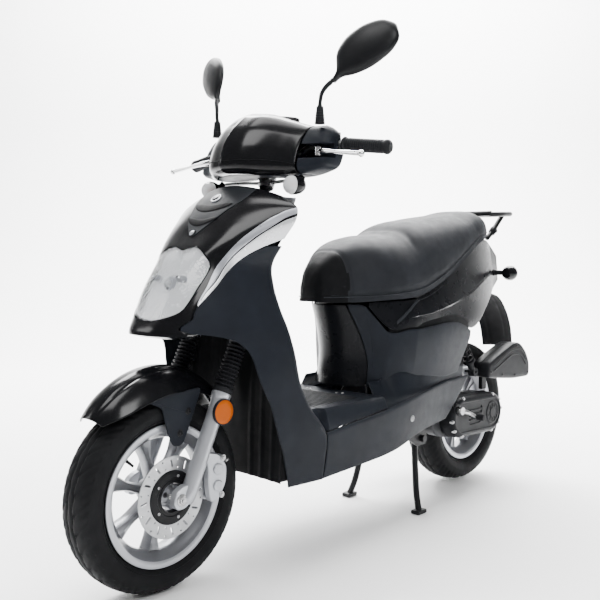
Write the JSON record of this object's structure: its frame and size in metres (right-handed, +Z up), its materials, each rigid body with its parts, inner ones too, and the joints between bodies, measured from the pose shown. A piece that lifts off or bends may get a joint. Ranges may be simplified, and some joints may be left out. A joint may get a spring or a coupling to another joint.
{
  "type": "moped scooter",
  "caption": "Step-through moped scooter with leg shield, flat floor, stepped seat, mirrors, rear rack and centre stand; steering, suspension, wheels, stand, seat and controls move.",
  "frame": {"origin": "bottom centre of the whole object, on the ground between the wheels", "axes": "+Z up, forward along -Y, the rider's left at +X"},
  "size_m": [0.714, 1.859, 1.3575],
  "materials": {
    "gloss_black": "painted high gloss",
    "matte_black": "fine moulded grain",
    "seat_cover": "soft grained vinyl",
    "grip_rubber": "matte",
    "tyre_rubber": "matte",
    "silver": "silver paint over cast metal",
    "steel": "machined",
    "chrome": "polished",
    "black_metal": "satin black paint",
    "clear_lens": "clear, faceted inside",
    "red_lens": "translucent red",
    "amber_lens": "translucent amber",
    "mirror_glass": "polished"
  },
  "bodies": {
    "frame": {"floorboard": "matte_black", "front_cowl": "gloss_black", "fuel_tank": "black_metal", "headlight_lens": "clear_lens", "knee_panel": "matte_black", "leg_shield_left": "matte_black", "leg_shield_right": "matte_black", "luggage_rack": "black_metal", "main_frame": "black_metal", "rear_mudguard": "matte_black", "rear_signal_left": "clear_lens", "rear_signal_right": "clear_lens", "seat_front_panel": "matte_black", "side_cover_left": "matte_black", "side_cover_right": "matte_black", "skirt_left": "matte_black", "skirt_right": "matte_black", "storage_tub": "matte_black", "tail_cowl_left": "gloss_black", "tail_cowl_right": "gloss_black", "tail_light": "red_lens", "wheel_arch_liner": "matte_black"},
    "steering": {"fork_crown": "steel", "handlebar": "steel", "handlebar_cowl": "gloss_black", "dash_panel": "matte_black", "grip_left": "grip_rubber", "switch_pod_left": "matte_black", "switch_pod_right": "matte_black", "mirror_arm_left": "black_metal", "mirror_arm_right": "black_metal", "front_signal_left": "clear_lens", "front_signal_right": "clear_lens"},
    "fork": {"fork_leg_left": "silver", "fork_leg_right": "silver", "front_fender": "gloss_black", "brake_caliper": "silver"},
    "front_wheel": {"front_tyre": "tyre_rubber", "front_rim": "silver", "brake_disc": "steel"},
    "throttle": {"throttle_grip": "grip_rubber"},
    "lever_left": {"brake_lever_left": "chrome"},
    "lever_right": {"brake_lever_right": "chrome"},
    "mirror_left": {"mirror_head_left": "gloss_black"},
    "mirror_right": {"mirror_head_right": "gloss_black"},
    "start_button": {"start_button": "matte_black"},
    "horn_button": {"horn_button": "matte_black"},
    "signal_switch": {"signal_switch": "matte_black"},
    "swing": {"engine_case": "silver", "cvt_cover": "matte_black", "air_box": "matte_black", "muffler": "black_metal"},
    "rear_wheel": {"rear_tyre": "tyre_rubber", "rear_rim": "silver"},
    "kick": {"kick_lever": "black_metal"},
    "shock_body": {"shock_body": "black_metal"},
    "shock_rod": {"shock_rod": "steel"},
    "stand": {"centre_stand": "black_metal"},
    "seat": {"seat": "seat_cover"}
  },
  "joints": [
    {"name": "steering", "type": "hinge", "parent": "frame", "child": "steering", "pos_m": [0, -0.677, 0.2295], "axis": [0, 0.4226, 0.9063], "range_deg": [-38, 38]},
    {"name": "fork_slide", "type": "slide", "parent": "steering", "child": "fork", "axis": [0, 0.4226, 0.9063], "range_m": [0, 0.05], "stiffness_N_per_m": 8000, "springref_m": -0.04},
    {"name": "front_wheel_spin", "type": "hinge", "parent": "fork", "child": "front_wheel", "pos_m": [0, -0.7, 0.2295], "axis": [1, 0, 0], "continuous": true},
    {"name": "throttle_turn", "type": "hinge", "parent": "steering", "child": "throttle", "pos_m": [-0.205, -0.3, 1.0605], "axis": [-0.9756, 0.1886, -0.1126], "range_deg": [0, 75], "stiffness_Nm_per_rad": 0.4, "springref_deg": -22.92},
    {"name": "lever_left_pull", "type": "hinge", "parent": "steering", "child": "lever_left", "pos_m": [0.184, -0.338, 1.04], "axis": [0, 0, 1], "range_deg": [0, 18], "stiffness_Nm_per_rad": 1.5, "springref_deg": -11.46},
    {"name": "lever_right_pull", "type": "hinge", "parent": "steering", "child": "lever_right", "pos_m": [-0.184, -0.338, 1.04], "axis": [0, 0, -1], "range_deg": [0, 18], "stiffness_Nm_per_rad": 1.5, "springref_deg": -11.46},
    {"name": "mirror_left_turn", "type": "hinge", "parent": "steering", "child": "mirror_left", "pos_m": [0.21, -0.317, 1.212], "axis": [0, 0, 1], "range_deg": [-15, 15]},
    {"name": "mirror_right_turn", "type": "hinge", "parent": "steering", "child": "mirror_right", "pos_m": [-0.21, -0.317, 1.212], "axis": [0, 0, 1], "range_deg": [-15, 15]},
    {"name": "start_press", "type": "slide", "parent": "steering", "child": "start_button", "axis": [0, -1, 0], "range_m": [0, 0.002], "stiffness_N_per_m": 400, "springref_m": -0.002},
    {"name": "horn_press", "type": "slide", "parent": "steering", "child": "horn_button", "axis": [0, -1, 0], "range_m": [0, 0.002], "stiffness_N_per_m": 400, "springref_m": -0.002},
    {"name": "signal_select", "type": "hinge", "parent": "steering", "child": "signal_switch", "pos_m": [0.187, -0.262, 1.082], "axis": [0, 1, 0], "range_deg": [-20, 20]},
    {"name": "swing", "type": "hinge", "parent": "frame", "child": "swing", "pos_m": [0, 0.2, 0.375], "axis": [1, 0, 0], "range_deg": [0, 10], "stiffness_Nm_per_rad": 1100, "springref_deg": -8.59},
    {"name": "rear_wheel_spin", "type": "hinge", "parent": "swing", "child": "rear_wheel", "pos_m": [0, 0.62, 0.247], "axis": [1, 0, 0], "continuous": true},
    {"name": "kick_turn", "type": "hinge", "parent": "swing", "child": "kick", "pos_m": [0.158, 0.395, 0.292], "axis": [-1, 0, 0], "range_deg": [0, 60], "stiffness_Nm_per_rad": 0.8, "springref_deg": -34.38},
    {"name": "shock_pivot", "type": "hinge", "parent": "frame", "child": "shock_body", "pos_m": [0.105, 0.44, 0.56], "axis": [1, 0, 0], "range_deg": [0, 12]},
    {"name": "shock_slide", "type": "slide", "parent": "shock_body", "child": "shock_rod", "axis": [0, -0.5882, 0.8087], "range_m": [0, 0.0535]},
    {"name": "stand_fold", "type": "hinge", "parent": "frame", "child": "stand", "pos_m": [0, 0.23, 0.225], "axis": [1, 0, 0], "range_deg": [0, 76]},
    {"name": "seat_hinge", "type": "hinge", "parent": "frame", "child": "seat", "pos_m": [0, -0.15, 0.664], "axis": [1, 0, 0], "range_deg": [0, 45]}
  ],
  "couplings": [
    {"joint": "shock_pivot", "follows": "swing", "ratio": 1.12},
    {"joint": "shock_slide", "follows": "swing", "m_per_rad": 0.3014}
  ]
}
